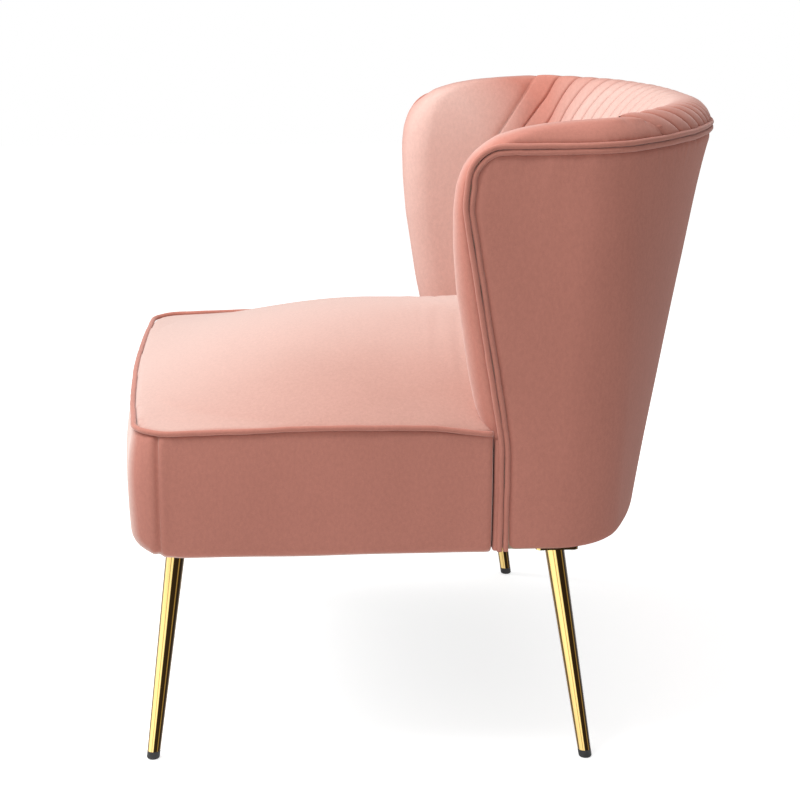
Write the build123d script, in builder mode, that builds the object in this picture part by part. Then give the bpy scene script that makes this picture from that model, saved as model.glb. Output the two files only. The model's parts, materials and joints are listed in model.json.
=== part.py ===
"""Upholstered slipper chair with a channelled barrel back, low wings and four tapered tube legs.

Frame: +Z is up, -Y is the front, and the origin is on the floor under the middle of the whole chair.
All sizes are millimetres.
"""
from build123d import *
from math import atan2, cos, radians, sin, sqrt
import os

# ---- upholstery layers
fabric = 2.0            # velvet with its thin wadding
gap = 0.3               # clearance between neighbouring layers
cord_radius = 3.25      # piping cord in its sleeve
dust_cloth = 0.6        # black cloth under the chair

# ---- overall sizes
half_width = 328        # side faces of the seat and of the back
half_depth = 370.5      # from the middle to the seat front, and to the top rear cord
crest_height = 763      # top of the padded crest
seat_bottom = 263
back_bottom = 267

# ---- seat box
seat_edge = 415         # height of the piping round the top
seat_crown = 60         # rise of the top over the piping
crown_start = 2         # rise at the very front
crown_speed = 1.8       # the full rise is reached at 1 / 1.8 of the depth
crown_stations = [0, 0.06, 0.16, 0.32, 0.55, 0.8, 1]
crown_overlap = 4       # the crowned solids run this far past the seat's front
seat_corner = 48        # plan radius of the front corners
front_bow = 10          # how far the middle of the front stands out
belly_height = 345      # where the front stands out most
belly_above = 9.5       # how far the front falls back at the piping
belly_below = 4.5       # and at the bottom
side_round = 10         # bottom edge, at the sides
front_round = 26        # bottom edge, at the front
box_rear = 61           # rear face of the wide part of the seat
flange = 32             # cover turned under the frame

# ---- barrel back, outside
side_turn = 130         # the sides run straight back to here
barrel_corner = 100     # plan radius where a side turns into the rear
base_setback = 88.5     # rear face at the bottom, in front of the rearmost cord
base_reach = half_depth - base_setback
rear_lean = 77          # how much further back it is at the top
welt_drop = 34          # middle of the outer top cord, under the crest
welt_height = crest_height - welt_drop
cord_inset = 1.0        # middle of a cord inside the face that it edges
top_reach = half_depth - cord_radius + cord_inset

# ---- barrel back, inside
wing_thickness = 65
inner_half_width = half_width - wing_thickness
inner_corner = 60
inner_turn = 110
wall_thickness = 87     # from the rear face at the bottom to the inner face at the height below
inner_base = base_reach - wall_thickness
inner_base_height = seat_edge + 15
inner_lean = 0.29       # run per rise of the inner face
roll_rise = 123         # the inner face starts to roll over this far under the crest
roll_height = crest_height - roll_rise
roll_depth = 41
roll_side = 32
crest_round = 33        # from the outer face to the top of the crest
wrap = 32               # plan depth of the rounded wing front

# ---- wing front, as (distance under the crest, distance of the front from the middle)
wing_profile = [(363, 60), (333, 44), (293, 35), (243, 27), (193, 19), (143, 15), (103, 15), (73, 18),
                (51, 25), (33, 38), (19, 58), (9, 85), (3, 118), (0.5, 165)]
wing_front = [(crest_height - drop, front) for drop, front in wing_profile]
shoulder_drop = 63      # the layers under the cover sink towards the crest from here
shoulder_height = crest_height - shoulder_drop

# ---- edge of the outer back, followed by two cords, seen from the side
edge_foot = 77
edge_knee = 395
edge_tip = 30
tip_drop = 61           # under the top cord
edge_tip_height = welt_height - tip_drop
edge_top = 36
knee_radius = 220
tip_radius = 60
top_radius = 34
cord_pitch = 2 * cord_radius + gap
welt_clear = cord_radius + gap
cover_edge = cord_pitch + welt_clear

# ---- wooden frame
board = 2.0             # stiff board under the outer cover
rib_depth = 21.4
plywood = 18
rail_thickness = 20
rail_top = 345
rail_side = half_width - 11
rail_front = half_depth - 36.5
webbing = 1.2
weave = 0.1             # daylight where two straps cross
web_width = 50
felt = 2.0
plank_height = 80       # board that the seat is bolted to

# ---- legs
leg_top_radius = 11.5
leg_foot_radius = 7.75
leg_wall = 1.2
glide_height = 10
plate_side = 50
plate_thickness = 3.0
screw_radius = 2.0
screw_length = 14
screw_pitch = 36
front_foot = (half_width - 37, 31.5 - half_depth)
rear_foot = (half_width - 10, base_reach - 100)
leg_splay = 26          # sideways, from the plate to the foot
front_rake = 33
rear_rake = 42

bolt_radius = 4.0
unit_gap = 1.3          # seam between the seat and the back
tongue_rail_depth = 49
tongue_wall = inner_base - tongue_rail_depth
tongue_play = 0.5       # between the seat's tongue and the inner back
plank_front = inner_base - tongue_play + gap
bolt_spots = [(-150, 318), (150, 318), (-60, 318), (60, 318)]

os.makedirs("parts", exist_ok=True)


def save(builder, label):
    builder.part.label = label
    export_step(builder.part, f"parts/{label}.step")


def mirrored(point):
    return (-point[0], *point[1:])


def rounding(height, radius):
    """How far a rounded lower edge is still inside its face at a height over the bottom."""
    if height >= radius:
        return 0
    return radius - sqrt(radius**2 - (radius - height) ** 2)


# ---- plan curves ---------------------------------------------------------------------------------
def arch(half, corner, turn, reach, height=0, leftward=True):
    """Rear of a U in plan, a corner, a rear arc and a corner, from one side at turn to the other."""
    depth = reach - turn
    rear_radius = ((half - corner) ** 2 + depth**2 - corner**2) / (2 * (depth - corner))
    rear_centre = reach - rear_radius
    angle = atan2(turn - rear_centre, half - corner)
    hand = 1 if leftward else -1
    start = (hand * half, turn, height)
    bend = (hand * (half - corner + corner * cos(angle / 2)), turn + corner * sin(angle / 2), height)
    join = (hand * rear_radius * cos(angle), rear_centre + rear_radius * sin(angle), height)
    ThreePointArc(start, bend, join)
    ThreePointArc(join, (0, reach, height), mirrored(join))
    ThreePointArc(mirrored(join), mirrored(bend), mirrored(start))


def reach_at(height):
    """Rear face of the outer back at a height: leaning, with a slight flare under the top cord."""
    rise = min((height - back_bottom) / (welt_height - back_bottom), 1)
    return base_reach + rear_lean * rise + (top_reach - base_reach - rear_lean) * rise**4


def barrel_plan(inset, height, front=0):
    """Plan of everything inside the outer back at a height, moved in by inset."""
    half = half_width - inset
    with BuildSketch(Plane.XY.offset(height)) as plan:
        with BuildLine():
            Line((-half, front), (half, front))
            Line((half, front), (half, side_turn))
            arch(half, barrel_corner - inset, side_turn, reach_at(height) - inset)
            Line((-half, side_turn), (-half, front))
        make_face()
    return plan.sketch


def barrel_levels(inset, bottom, top, count=5, front=0):
    return [barrel_plan(inset, bottom + (top - bottom) * i / (count - 1), front) for i in range(count)]


def front_lines(half, front, corner, rear, height=0):
    """Side, rounded corner, bowed front, rounded corner and side of the seat, from right to left."""
    side_end = (half, front + front_bow + corner, height)
    bend = (half - corner * (1 - sqrt(0.5)), front + front_bow + corner * (1 - sqrt(0.5)), height)
    front_end = (half - corner, front + front_bow, height)
    Line((half, rear, height), side_end)
    ThreePointArc(side_end, bend, front_end)
    ThreePointArc(front_end, (0, front, height), mirrored(front_end))
    ThreePointArc(mirrored(front_end), mirrored(bend), mirrored(side_end))
    Line(mirrored(side_end), (-half, rear, height))


def seat_plan(inset, height, reach, side=0):
    """Plan of the seat: wide in front of the wings, with a narrower tongue between them."""
    half = half_width - inset - side
    rear = box_rear - inset
    tongue = inner_half_width - tongue_play - inset
    with BuildSketch(Plane.XY.offset(height)) as plan:
        with BuildLine():
            front_lines(half, inset - reach, seat_corner - inset, rear)
            Line((-half, rear), (-tongue, rear))
            Line((-tongue, rear), (-tongue, inner_turn))
            arch(tongue, inner_corner - inset, inner_turn, inner_base - tongue_play - inset, leftward=False)
            Line((tongue, inner_turn), (tongue, rear))
            Line((tongue, rear), (half, rear))
        make_face()
    return plan.sketch


def seat_front_at(height):
    drop = belly_above if height > belly_height else belly_below
    span = seat_edge - belly_height if height > belly_height else belly_height - seat_bottom
    bow = drop * ((height - belly_height) / span) ** 2
    return half_depth - bow - rounding(height - seat_bottom, front_round)


def seat_levels(inset, heights):
    return [seat_plan(inset, z, seat_front_at(z), rounding(z - seat_bottom, side_round)) for z in heights]


def crown_section(place, rise, lift):
    """Slice of the seat across its width: flat below, crowned above."""
    half = half_width + 2
    with BuildSketch(Plane.XZ.offset(-place)) as slice_:
        with BuildLine():
            Bezier(
                (-half, seat_edge + lift),
                (-half * 0.6, seat_edge + lift + rise * 4 / 3),
                (half * 0.6, seat_edge + lift + rise * 4 / 3),
                (half, seat_edge + lift),
            )
            Line((half, seat_edge + lift), (half, seat_bottom + 1))
            Line((half, seat_bottom + 1), (-half, seat_bottom + 1))
            Line((-half, seat_bottom + 1), (-half, seat_edge + lift))
        make_face()
    return slice_.sketch


def crown_slices(lift):
    """Slices from the front of the seat to behind its tongue; the crown rises over the first half."""
    front = -half_depth - crown_overlap
    length = inner_base + 5 * crown_overlap - front
    slices = []
    for station in crown_stations:
        growth = sin(radians(90 * min(station * crown_speed, 1)))
        rise = crown_start + (seat_crown - crown_start) * growth
        slices.append(crown_section(front + length * station, rise, lift))
    return slices


# ---- places of the fasteners, and the holes that they need ---------------------------------------
def leg_foot(corner, side):
    return Vector(side * corner[0], corner[1], 0)


def leg_head(corner, side, rake, height):
    return Vector(side * (corner[0] - leg_splay), corner[1] + rake, height)


seat_plate_top = seat_bottom - dust_cloth
back_plate_top = back_bottom - dust_cloth
legs = {}
for side_name, side in (("left", 1), ("right", -1)):
    legs[f"front_{side_name}"] = (front_foot, side, front_rake, seat_plate_top - plate_thickness)
    legs[f"rear_{side_name}"] = (rear_foot, side, -rear_rake, back_plate_top - plate_thickness)

screw_spots = []
for corner, side, rake, height in legs.values():
    head = leg_head(corner, side, rake, height)
    screw_spots += [head + Vector(dx, dy, 0) for dx in (-screw_pitch / 2, screw_pitch / 2)
                    for dy in (-screw_pitch / 2, screw_pitch / 2)]

with BuildPart(mode=Mode.PRIVATE) as screw_holes:
    with Locations(*screw_spots):
        Cylinder(screw_radius + gap, screw_length + 3, align=(Align.CENTER, Align.CENTER, Align.MIN))

with BuildPart(mode=Mode.PRIVATE) as bolt_holes:
    with BuildSketch(Plane.XZ.offset(-tongue_wall + 1)):
        with Locations(*bolt_spots):
            Circle(bolt_radius + gap)
    extrude(amount=-(plank_front + plywood + 2 - tongue_wall))


# ---- seat cover, foam and piping -----------------------------------------------------------------
boxing_top = seat_edge - welt_clear
boxing_heights = [seat_bottom, seat_bottom + 2, seat_bottom + 6, seat_bottom + 13, seat_bottom + front_round,
                  belly_height, (belly_height + boxing_top) / 2, boxing_top]
foam_edge = 10          # cover, with the padding round the frame
padding_inset = fabric + gap
felt_bottom = rail_top + 2 * webbing + weave + gap
deck = felt_bottom + felt + gap

with BuildPart() as seat_boxing:
    loft(seat_levels(0, boxing_heights), ruled=True)
    inner_heights = [seat_bottom + fabric] + boxing_heights[2:-1] + [boxing_top + 1]
    loft(seat_levels(fabric, inner_heights), ruled=True, mode=Mode.SUBTRACT)
    with BuildSketch(Plane.XY.offset(seat_bottom - 1)):
        add(seat_plan(flange, seat_bottom - 1, seat_front_at(seat_bottom)))
    extrude(amount=fabric + 2, mode=Mode.SUBTRACT)
    add(screw_holes.part, mode=Mode.SUBTRACT)
    add(bolt_holes.part, mode=Mode.SUBTRACT)
save(seat_boxing, "seat_boxing")


def piping_path(inset, height):
    """Line of the seat piping: along one side, round the front and back along the other."""
    front = inset - seat_front_at(seat_edge)
    with BuildLine() as path:
        front_lines(half_width - inset, front, seat_corner - inset, box_rear - cord_radius, height)
    return path.wire()


def tube_along(path, radius):
    with BuildPart(mode=Mode.PRIVATE) as tube:
        with BuildSketch(Plane(path @ 0, z_dir=path % 0)):
            Circle(radius)
        sweep(path=path)
    return tube.part


with BuildPart() as seat_welt:
    add(tube_along(piping_path(cord_inset, seat_edge), cord_radius))
save(seat_welt, "seat_welt")

with BuildPart() as seat_top_panel:
    with BuildSketch(Plane.XY.offset(seat_edge - fabric)):
        add(seat_plan(0, 0, seat_front_at(seat_edge)))
    extrude(amount=seat_crown + 10)
    loft(crown_slices(0), mode=Mode.INTERSECT)
    loft(crown_slices(-fabric), mode=Mode.SUBTRACT)
    add(tube_along(piping_path(cord_inset, seat_edge), welt_clear), mode=Mode.SUBTRACT)
save(seat_top_panel, "seat_top_panel")

with BuildPart() as seat_foam:
    with BuildSketch(Plane.XY.offset(deck)):
        add(seat_plan(foam_edge, 0, seat_front_at(seat_edge)))
    extrude(amount=seat_edge + seat_crown - deck)
    loft(crown_slices(-fabric - gap), mode=Mode.INTERSECT)
save(seat_foam, "seat_foam")


# ---- barrel back: outer cover and piping ---------------------------------------------------------
def edge_points(shift, top=None):
    """Corners of the outer back's edge seen from the side, as (back, height), moved forward and up."""
    top = top or welt_height + shift
    lean = atan2(edge_foot - edge_tip, edge_tip_height - edge_knee)
    return [
        (edge_foot - shift, back_bottom),
        (edge_foot - shift, edge_knee - shift * sin(lean / 2)),
        (edge_tip - shift, edge_tip_height),
        (edge_top - shift, top),
        (side_turn, top),
    ]


def edge_radii(shift):
    return [knee_radius - shift, tip_radius + shift, top_radius + shift]


def behind_edge(shift, top=None):
    """Block that holds everything behind the edge of the outer back and under its top cord."""
    points = edge_points(shift, top)
    with BuildPart(mode=Mode.PRIVATE) as block:
        with BuildSketch(Plane.YZ):
            with BuildLine():
                FilletPolyline(*points, radius=edge_radii(shift))
                Polyline(points[-1], (2 * half_depth, points[-1][1]), (2 * half_depth, seat_bottom - 50),
                         (edge_foot - shift, seat_bottom - 50), points[0])
            make_face()
        extrude(amount=2 * half_width, both=True)
    return block.part


def edge_path(shift, inset):
    """Line of a cord: up one wing, round its top corner, round the rear and down the other wing."""
    half = half_width - inset
    height = welt_height + shift
    side = [(half, back, up) for back, up in edge_points(shift)]
    with BuildLine() as path:
        FilletPolyline(*side, radius=edge_radii(shift))
        arch(half, barrel_corner - inset, side_turn, top_reach - inset, height)
        FilletPolyline(*[mirrored(point) for point in reversed(side)], radius=edge_radii(shift)[::-1])
    return path.wire()


with BuildPart() as back_outer_cover:
    loft(barrel_levels(0, back_bottom, welt_height))
    loft(barrel_levels(fabric, back_bottom, welt_height), mode=Mode.SUBTRACT)
    with BuildSketch(Plane.XY.offset(back_bottom)):
        add(barrel_plan(fabric / 2, back_bottom))
        add(barrel_plan(flange, back_bottom), mode=Mode.SUBTRACT)
    extrude(amount=fabric)
    add(behind_edge(-welt_clear), mode=Mode.INTERSECT)
    add(screw_holes.part, mode=Mode.SUBTRACT)
save(back_outer_cover, "back_outer_cover")

with BuildPart() as back_outer_welt:
    add(tube_along(edge_path(0, cord_inset), cord_radius))
save(back_outer_welt, "back_outer_welt")

with BuildPart() as back_inner_welt:
    add(tube_along(edge_path(cord_pitch, cord_inset + gap), cord_radius))
save(back_inner_welt, "back_inner_welt")


# ---- barrel back: padding and inner cover --------------------------------------------------------
def roll(height, start):
    """Share, from 0 to 1, of a rounded crest's depth that is used up at a height."""
    rise = max(height - start, 0) / (crest_height - start)
    return 1 - sqrt(1 - rise**2)


def edge_at(height):
    """Where the piped edge is at a height under the corner, from the middle of the chair."""
    if height <= edge_knee:
        return edge_foot
    slope = (edge_foot - edge_tip) / (edge_tip_height - edge_knee)
    return max(edge_foot - (height - edge_knee) * slope, edge_tip)


def pad_plan(inset, height, front):
    """Plan of the padded U at a height: outer arch, two rounded wing fronts and inner arch."""
    rolled = roll(height, roll_height)
    outer = half_width - inset - crest_round * roll(height, welt_height)
    outer_reach = min(reach_at(height), top_reach) - half_width + outer
    outer_corner = barrel_corner - half_width + outer
    inner = inner_half_width + inset + roll_side * rolled
    lean = inner_lean * max(height - inner_base_height, 0)
    inner_reach = inner_base + inset + lean + roll_depth * rolled
    corner = inner_corner + (outer_corner - outer + inner - inner_corner) * rolled
    nose = front + inset
    depth = wrap * (1 - 0.85 * rolled)
    inner_front = nose + depth
    outer_front = max(min(edge_at(height) - cover_edge, inner_front), nose + 3)
    straight = front + depth + 2 * fabric
    outer_turn = max(side_turn, straight)
    turn = max(inner_turn + (outer_turn - inner_turn) * rolled, straight)
    middle = (inner + 0.4 * (outer - inner), nose)
    sink = inset * max(height - shoulder_height, 0) / (crest_height - shoulder_height)
    with BuildSketch(Plane.XY.offset(height - sink)) as plan:
        with BuildLine():
            Line((outer, outer_front), (outer, outer_turn))
            arch(outer, outer_corner, outer_turn, outer_reach)
            Line((-outer, outer_turn), (-outer, outer_front))
            ThreePointArc((-outer, outer_front), mirrored(middle), (-inner, inner_front))
            Line((-inner, inner_front), (-inner, turn))
            arch(inner, corner, turn, inner_reach, leftward=False)
            Line((inner, turn), (inner, inner_front))
            ThreePointArc((inner, inner_front), middle, (outer, outer_front))
        make_face()
    return plan.sketch


def pad_levels(inset):
    return [pad_plan(inset, height, front) for height, front in wing_front]


foam_room = 0.5         # the foam is soft, and lies this far under its cover
with BuildPart(mode=Mode.PRIVATE) as seat_space:
    with BuildSketch(Plane.XY.offset(seat_bottom)):
        with BuildLine():
            front_lines(half_width + gap, -half_depth, seat_corner, box_rear + gap)
            Line((-half_width - gap, box_rear + gap), (half_width + gap, box_rear + gap))
        make_face()
    extrude(amount=seat_edge + seat_crown - seat_bottom + 10)
    loft(crown_slices(gap), mode=Mode.INTERSECT)

board_out = fabric + gap
rib_out = board_out + board + gap
rib_in = rib_out + rib_depth
web_out = rib_in + gap
pad_out = web_out + webbing + gap
ring_bottom = back_bottom + fabric + gap
ring_top = ring_bottom + plywood
top_rail_bottom = shoulder_height
top_rail_top = top_rail_bottom + plywood


def wall_layer(outer, inner, bottom, top, count=5, front=0):
    """Layer of the barrel wall between two depths under its outer face, open at the front."""
    with BuildPart(mode=Mode.PRIVATE) as layer:
        loft(barrel_levels(outer, bottom, top, count, front))
        loft(barrel_levels(inner, bottom, top, count, -half_depth), mode=Mode.SUBTRACT)
    return layer.part


outside = -5
wall_room = wall_layer(outside, pad_out, seat_bottom, top_rail_top + gap) & behind_edge(cover_edge)
cord_room = wall_layer(outside, 2 * cord_radius, seat_bottom, welt_height + cover_edge)
cord_room = cord_room & behind_edge(cover_edge)

with BuildPart() as back_inner_cover:
    loft(pad_levels(0), ruled=True)
    loft(pad_levels(fabric), ruled=True, mode=Mode.SUBTRACT)
    add(wall_room, mode=Mode.SUBTRACT)
    add(cord_room, mode=Mode.SUBTRACT)
    add(seat_space.part, mode=Mode.SUBTRACT)
save(back_inner_cover, "back_inner_cover")

with BuildPart() as back_foam:
    loft(pad_levels(fabric + foam_room), ruled=True)
    add(wall_room, mode=Mode.SUBTRACT)
    add(cord_room, mode=Mode.SUBTRACT)
    add(seat_space.part, mode=Mode.SUBTRACT)
    add(back_inner_cover.part, mode=Mode.SUBTRACT)
save(back_foam, "back_foam")

# ---- barrel back: frame --------------------------------------------------------------------------
with BuildPart() as back_board:
    add(wall_layer(board_out, board_out + board, ring_bottom, top_rail_top))
    add(behind_edge(-welt_clear), mode=Mode.INTERSECT)
save(back_board, "back_board")

post_shift = cord_pitch + 2
post_width = 42
ring_width = 60         # from the outer face

with BuildPart() as back_bottom_ring:
    add(wall_layer(rib_out, ring_width, ring_bottom, ring_top, 2, edge_foot - post_shift))
    add(screw_holes.part, mode=Mode.SUBTRACT)
save(back_bottom_ring, "back_bottom_ring")

with BuildPart() as back_top_rail:
    add(wall_layer(rib_out, rib_in, top_rail_bottom, top_rail_top, 2))
    add(behind_edge(post_shift), mode=Mode.INTERSECT)
save(back_top_rail, "back_top_rail")

rib_layer = wall_layer(rib_out, rib_in, ring_top, top_rail_bottom)
for side_name, side in (("left", 1), ("right", -1)):
    with BuildPart() as wing_post:
        add(rib_layer)
        add(behind_edge(post_shift), mode=Mode.INTERSECT)
        add(behind_edge(post_shift - post_width, welt_height + post_shift), mode=Mode.SUBTRACT)
        split(bisect_by=Plane.YZ, keep=Keep.TOP if side > 0 else Keep.BOTTOM)
    save(wing_post, f"wing_post_{side_name}")

rib_places = {
    "side": (half_width - 58, side_turn + 35, 0),
    "corner": (half_width - 113, side_turn + 105, 45),
    "rear": (75, base_reach + 8, 90),
}
rib_reach = 220         # uncut depth of a rib, which the layer trims
for side_name, side in (("left", 1), ("right", -1)):
    for place, (across, back, turned) in rib_places.items():
        with BuildPart() as rib:
            middle = (side * across, back, (ring_top + top_rail_bottom) / 2)
            with Locations(Location(middle, (0, 0, side * turned))):
                Box(rib_reach, plywood, top_rail_bottom - ring_top)
            add(rib_layer, mode=Mode.INTERSECT)
        save(rib, f"back_rib_{place}_{side_name}")

back_web_rows = 4
back_web_pitch = 63
with BuildPart() as back_webbing:
    for row in range(back_web_rows):
        low = inner_base_height + 20 + row * back_web_pitch
        add(wall_layer(web_out, web_out + webbing, low, low + web_width, 3))
    add(behind_edge(0), mode=Mode.INTERSECT)
save(back_webbing, "back_webbing")

with BuildPart() as back_plank:
    with BuildSketch(Plane.XY.offset(ring_top)):
        with Locations((0, plank_front + plywood / 2)):
            Rectangle(2 * half_width, plywood)
    extrude(amount=plank_height)
    loft(barrel_levels(rib_in + gap, ring_top, ring_top + plank_height), mode=Mode.INTERSECT)
    add(bolt_holes.part, mode=Mode.SUBTRACT)
save(back_plank, "back_plank")

with BuildPart() as back_dust_cover:
    with BuildSketch(Plane.XY.offset(back_plate_top)):
        add(barrel_plan(flange / 2, back_bottom, edge_foot - cord_pitch))
        add(seat_plan(-1, 0, half_depth), mode=Mode.SUBTRACT)
    extrude(amount=dust_cloth)
    add(screw_holes.part, mode=Mode.SUBTRACT)
save(back_dust_cover, "back_dust_cover")

facing_front = box_rear + unit_gap
cord_depth = cord_inset + gap + welt_clear
for side_name, side in (("left", 1), ("right", -1)):
    with BuildPart() as wing_facing:
        with BuildSketch(Plane.XY.offset(back_bottom)):
            with Locations((side * half_width, facing_front)):
                inward = Align.MAX if side > 0 else Align.MIN
                Rectangle(rib_in, edge_foot - facing_front, align=(inward, Align.MIN))
        extrude(amount=wing_front[0][0] - gap - back_bottom)
        add(behind_edge(post_shift + gap), mode=Mode.SUBTRACT)
        cord_space = wall_layer(outside, cord_depth, seat_bottom, welt_height, 2) & behind_edge(cover_edge)
        add(cord_space, mode=Mode.SUBTRACT)
    save(wing_facing, f"wing_facing_{side_name}")

# ---- seat frame ----------------------------------------------------------------------------------
rail_bottom = seat_bottom + fabric + gap
frame_rear = box_rear - fabric - gap
tongue_inset = fabric + gap
corner_cut = 26


def seat_rail(low, high, mode=Mode.ADD):
    """Upright rail between two plan corners, trimmed to the inside of the tongue's cover."""
    with BuildPart(mode=Mode.PRIVATE) as rail:
        with BuildSketch(Plane.XY.offset(rail_bottom)):
            with Locations(low):
                Rectangle(high[0] - low[0], high[1] - low[1], align=(Align.MIN, Align.MIN))
        extrude(amount=rail_top - rail_bottom)
        with BuildSketch(Plane.XY.offset(rail_bottom)):
            add(seat_plan(tongue_inset, 0, half_depth))
        extrude(amount=rail_top - rail_bottom, mode=Mode.INTERSECT)
    return rail.part


tongue_side = inner_half_width - tongue_play - tongue_inset
rails = {
    "seat_front_rail": (
        (corner_cut - rail_side, -rail_front),
        (rail_side - corner_cut, rail_thickness - rail_front),
    ),
    "seat_tongue_rail_rear": ((-tongue_side, tongue_wall), (tongue_side, inner_base)),
}
side_inner = rail_side - rail_thickness
tongue_inner = tongue_side - rail_thickness
shoulder_front = frame_rear - rail_thickness
for side_name, side in (("left", 1), ("right", -1)):
    spans = {
        "side": (side_inner, rail_side, corner_cut - rail_front, frame_rear),
        "shoulder": (tongue_side, side_inner, shoulder_front, frame_rear),
        "tongue": (tongue_inner, tongue_side, shoulder_front, tongue_wall),
    }
    for place, (inner, outer, low, high) in spans.items():
        left = min(side * inner, side * outer)
        rails[f"seat_{place}_rail_{side_name}"] = ((left, low), (left + outer - inner, high))

for name, (low, high) in rails.items():
    with BuildPart() as rail:
        add(seat_rail(low, high))
        add(bolt_holes.part, mode=Mode.SUBTRACT)
        add(screw_holes.part, mode=Mode.SUBTRACT)
    save(rail, name)

block_side = 78
block_height = 26
for side_name, side in (("left", 1), ("right", -1)):
    with BuildPart() as leg_block:
        with BuildSketch(Plane.XY.offset(rail_bottom)):
            with Locations((side * (rail_side - rail_thickness), rail_thickness - rail_front)):
                inward = Align.MAX if side > 0 else Align.MIN
                Rectangle(block_side, block_side, align=(inward, Align.MIN))
        extrude(amount=block_height)
        add(screw_holes.part, mode=Mode.SUBTRACT)
    save(leg_block, f"seat_leg_block_{side_name}")
    with BuildPart() as corner_block:
        with BuildSketch(Plane.XY.offset(rail_bottom)):
            with BuildLine():
                Polyline(
                    (side * (rail_side - corner_cut), -rail_front),
                    (side * rail_side, corner_cut - rail_front),
                    (side * (rail_side - rail_thickness), corner_cut - rail_front),
                    (side * (rail_side - rail_thickness), rail_thickness - rail_front),
                    (side * (rail_side - corner_cut), rail_thickness - rail_front),
                    close=True,
                )
            make_face()
        extrude(amount=rail_top - rail_bottom)
    save(corner_block, f"seat_corner_block_{side_name}")

# Interlaced webbing: each strap rises over every second strap that it crosses.
long_places = [-200, -100, 0, 100, 200]
first_cross = 72        # middle of the first cross strap, behind the front of the rails
cross_pitch = 86
cross_places = [first_cross - rail_front + row * cross_pitch for row in range(4)]
ramp = 12
strap_hold = 12         # how far a strap lies on the rear rail


def strap_outline(low, high, crossings, first_over):
    """Side view of a strap on the rails, as points along its length and its height."""
    line = [(low, rail_top)]
    for number, place in enumerate(crossings):
        if (number + first_over) % 2 == 0:
            half = web_width / 2 + 2
            line += [(place - half - ramp, rail_top), (place - half, rail_top + webbing + weave)]
            line += [(place + half, rail_top + webbing + weave), (place + half + ramp, rail_top)]
    line.append((high, rail_top))
    return line + [(along, height + webbing) for along, height in reversed(line)]


with BuildPart() as seat_webbing_long:
    for number, place in enumerate(long_places):
        with BuildSketch(Plane.YZ.offset(place - web_width / 2)):
            Polygon(*strap_outline(-rail_front, tongue_wall + strap_hold, cross_places, number), align=None)
        extrude(amount=web_width)
save(seat_webbing_long, "seat_webbing_long")

with BuildPart() as seat_webbing_cross:
    for number, place in enumerate(cross_places):
        with BuildSketch(Plane.XZ.offset(-place - web_width / 2)):
            Polygon(*strap_outline(-rail_side, rail_side, long_places, number + 1), align=None)
        extrude(amount=web_width)
save(seat_webbing_cross, "seat_webbing_cross")

with BuildPart() as seat_felt:
    with BuildSketch(Plane.XY.offset(felt_bottom)):
        add(seat_plan(foam_edge + 2, 0, seat_front_at(seat_edge)))
    extrude(amount=felt)
save(seat_felt, "seat_felt")

with BuildPart() as seat_padding:
    loft(seat_levels(padding_inset, [seat_bottom + front_round, rail_top, felt_bottom - gap]), ruled=True)
    with BuildSketch(Plane.XY.offset(seat_bottom)):
        with BuildLine():
            Polyline(
                (rail_side + gap, 2 * half_width),
                (rail_side + gap, corner_cut - rail_front),
                (rail_side - corner_cut, -rail_front - gap),
                (corner_cut - rail_side, -rail_front - gap),
                (-rail_side - gap, corner_cut - rail_front),
                (-rail_side - gap, 2 * half_width),
                close=True,
            )
        make_face()
    extrude(amount=seat_edge - seat_bottom, mode=Mode.SUBTRACT)
save(seat_padding, "seat_padding")

with BuildPart() as seat_dust_cover:
    with BuildSketch(Plane.XY.offset(seat_plate_top)):
        add(seat_plan(flange / 2, 0, seat_front_at(seat_bottom)))
    extrude(amount=dust_cloth)
    add(screw_holes.part, mode=Mode.SUBTRACT)
save(seat_dust_cover, "seat_dust_cover")

# ---- legs ----------------------------------------------------------------------------------------
def tapered_rod(foot, head, foot_radius, head_radius):
    """Rod between two points, run on a little past both."""
    axis = head - foot
    over = 0.06
    with BuildPart(mode=Mode.PRIVATE) as rod:
        for share in (-over, 1 + over):
            with BuildSketch(Plane(foot + axis * share, z_dir=axis)):
                Circle(foot_radius + (head_radius - foot_radius) * share)
        loft()
    return rod.part


for name, (corner, side, rake, top) in legs.items():
    foot = leg_foot(corner, side)
    head = leg_head(corner, side, rake, top)
    with BuildPart() as leg_tube:
        add(tapered_rod(foot, head, leg_foot_radius, leg_top_radius))
        bore = tapered_rod(foot, head, leg_foot_radius - leg_wall, leg_top_radius - leg_wall)
        add(bore, mode=Mode.SUBTRACT)
        split(bisect_by=Plane.XY.offset(top), keep=Keep.BOTTOM)
        split(bisect_by=Plane.XY.offset(glide_height), keep=Keep.TOP)
    save(leg_tube, f"leg_{name}")
    with BuildPart() as glide:
        add(tapered_rod(foot, head, leg_foot_radius, leg_top_radius))
        split(bisect_by=Plane.XY.offset(glide_height), keep=Keep.BOTTOM)
        add(tapered_rod(foot, head, leg_foot_radius - leg_wall - gap, leg_foot_radius - leg_wall - gap))
        split(bisect_by=Plane.XY.offset(2 * glide_height), keep=Keep.BOTTOM)
        split(bisect_by=Plane.XY, keep=Keep.TOP)
        fillet(glide.edges().group_by(Axis.Z)[0], 2)
    save(glide, f"leg_glide_{name}")
    with BuildPart() as plate:
        with BuildSketch(Plane.XY.offset(top)):
            with Locations((head.X, head.Y)):
                RectangleRounded(plate_side, plate_side, 5)
        extrude(amount=plate_thickness)
        add(screw_holes.part, mode=Mode.SUBTRACT)
    save(plate, f"leg_plate_{name}")

with BuildPart() as leg_screws:
    with Locations(*screw_spots):
        Cylinder(screw_radius, screw_length, align=(Align.CENTER, Align.CENTER, Align.MIN))
        Cylinder(2 * screw_radius, 2, align=(Align.CENTER, Align.CENTER, Align.MAX))
save(leg_screws, "leg_screws")

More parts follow.
